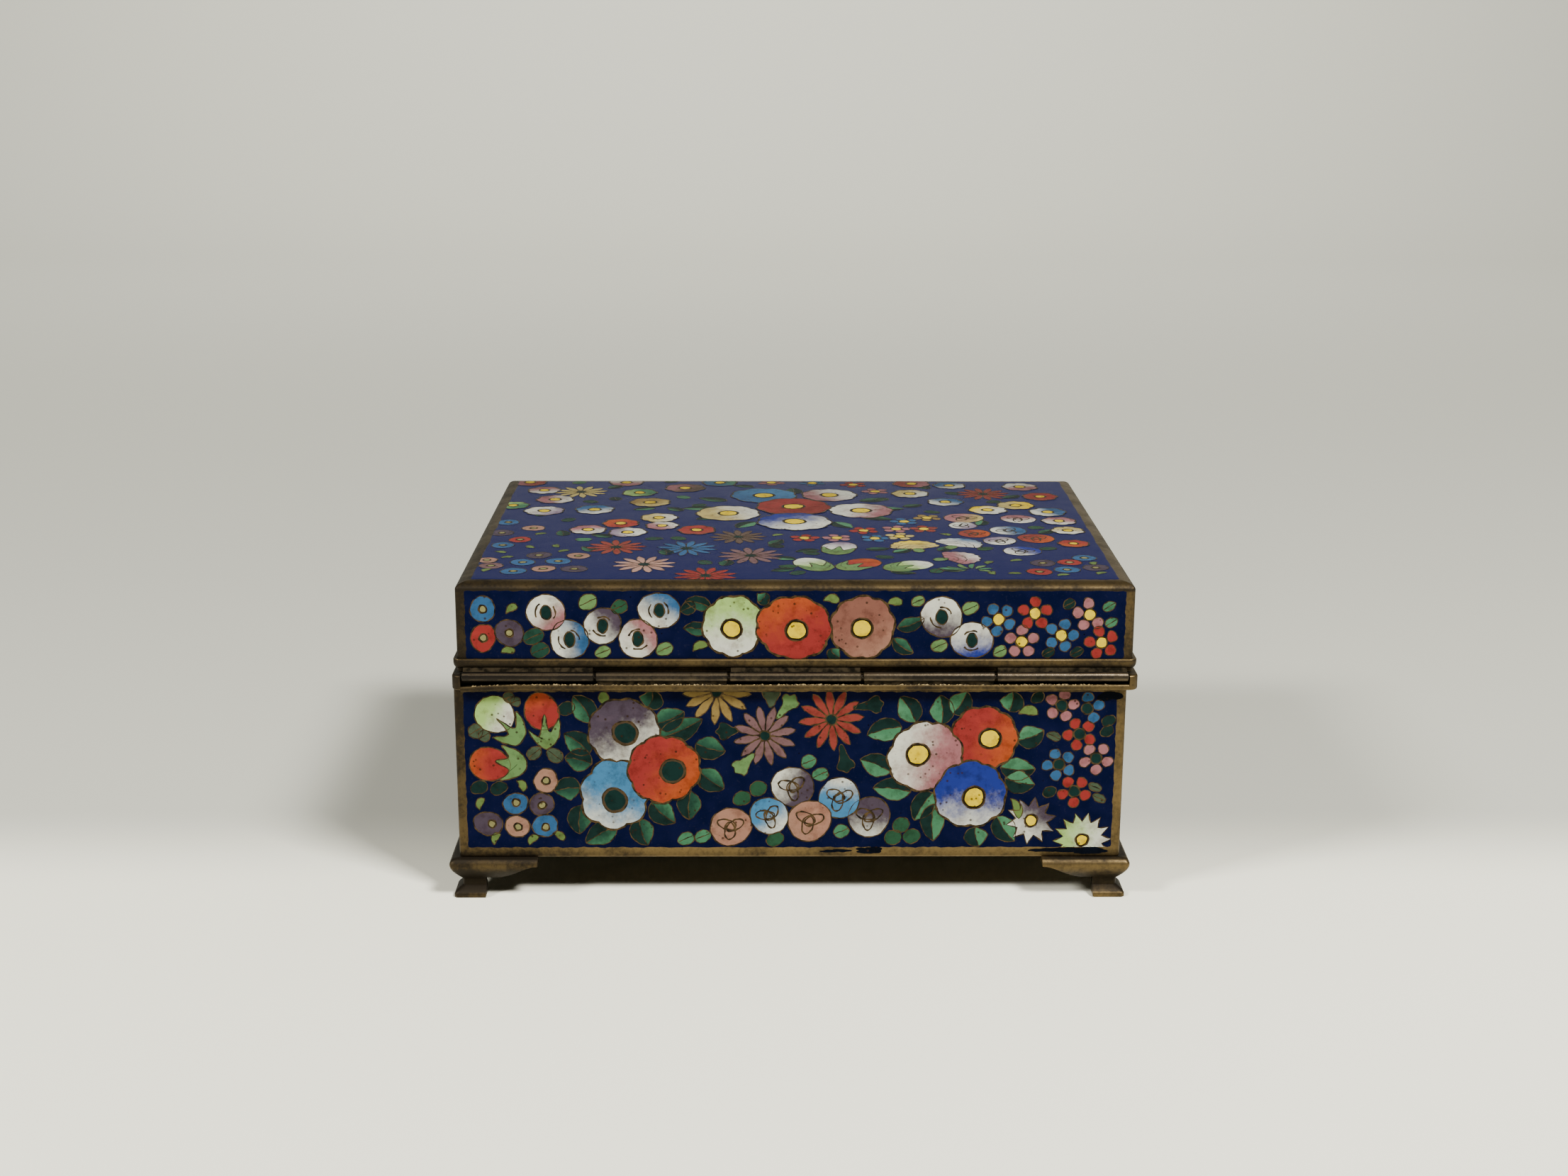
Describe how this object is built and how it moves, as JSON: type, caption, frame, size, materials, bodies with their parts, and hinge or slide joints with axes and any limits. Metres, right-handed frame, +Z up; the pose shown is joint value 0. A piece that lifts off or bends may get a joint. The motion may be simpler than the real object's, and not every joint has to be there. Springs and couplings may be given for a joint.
{
  "type": "cloisonne enamel box",
  "caption": "Rectangular hollow box with enamel panels in brass borders, a full-length hinged lid and bracket feet.",
  "frame": {"origin": "on the floor under the centre of the whole box's outline", "axes": "+X along the length, +Y away from the hinge side, +Z up"},
  "size_m": [0.1132, 0.0834, 0.0543],
  "materials": {
    "brass_body": "dull patinated brass with rubbed edges",
    "brass_trim": "dull patinated brass, brighter on the edges",
    "brass_feet": "cast brass, brown in the hollows",
    "brass_hinge": "dark tarnished brass",
    "enamel": "polished opaque glass enamel, cobalt blue ground with coloured flowers and fine brass wires"
  },
  "bodies": {
    "base": {"base_tray": "brass_body", "base_enamel_back": "enamel", "base_enamel_front": "enamel", "base_enamel_left": "enamel", "base_enamel_right": "enamel", "base_rim": "brass_trim", "foot_back_left": "brass_feet", "foot_back_right": "brass_feet", "foot_front_left": "brass_feet", "foot_front_right": "brass_feet", "hinge_knuckle_2": "brass_hinge", "hinge_knuckle_4": "brass_hinge", "hinge_pin": "brass_hinge"},
    "lid": {"lid_shell": "brass_body", "lid_enamel_top": "enamel", "lid_enamel_back": "enamel", "lid_enamel_front": "enamel", "lid_enamel_left": "enamel", "lid_enamel_right": "enamel", "lid_moulding": "brass_trim", "hinge_knuckle_1": "brass_hinge", "hinge_knuckle_3": "brass_hinge", "hinge_knuckle_5": "brass_hinge"}
  },
  "joints": [
    {"name": "lid_hinge", "type": "hinge", "parent": "base", "child": "lid", "pos_m": [0.00075, -0.04095, 0.03865], "axis": [1, 0, 0], "range_deg": [0, 105]}
  ]
}
